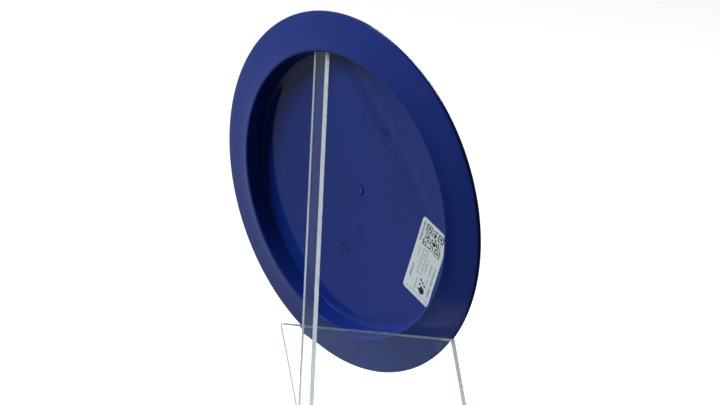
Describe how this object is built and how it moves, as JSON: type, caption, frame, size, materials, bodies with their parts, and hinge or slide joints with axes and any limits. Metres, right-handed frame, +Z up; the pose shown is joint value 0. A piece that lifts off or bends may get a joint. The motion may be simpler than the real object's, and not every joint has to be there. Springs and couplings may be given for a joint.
{
  "type": "golf disc on display stand",
  "caption": "Wide-rimmed moulded plastic flying disc with a label in its recess, hung on a clear acrylic stand with a post and a leaning panel.",
  "frame": {"origin": "middle of the base plate's underside, which is the bottom centre of the whole object", "axes": "+Z up; the disc's top side faces -Y and leans back 16.8 degrees, its recess faces +Y"},
  "size_m": [0.211, 0.0992, 0.2325],
  "materials": {
    "disc_plastic": "glossy moulded blue plastic",
    "label_paper": null,
    "clear_acrylic": "clear cast acrylic, polished faces and sawn edges"
  },
  "bodies": {
    "stand": {"base_plate": "clear_acrylic", "support_post": "clear_acrylic", "rest_panel": "clear_acrylic"},
    "disc": {"flying_disc": "disc_plastic", "price_label": "label_paper"}
  },
  "joints": [
    {"name": "disc_lift", "type": "slide", "parent": "stand", "child": "disc", "axis": [0, 0, 1], "range_m": [0, 0.12]}
  ]
}
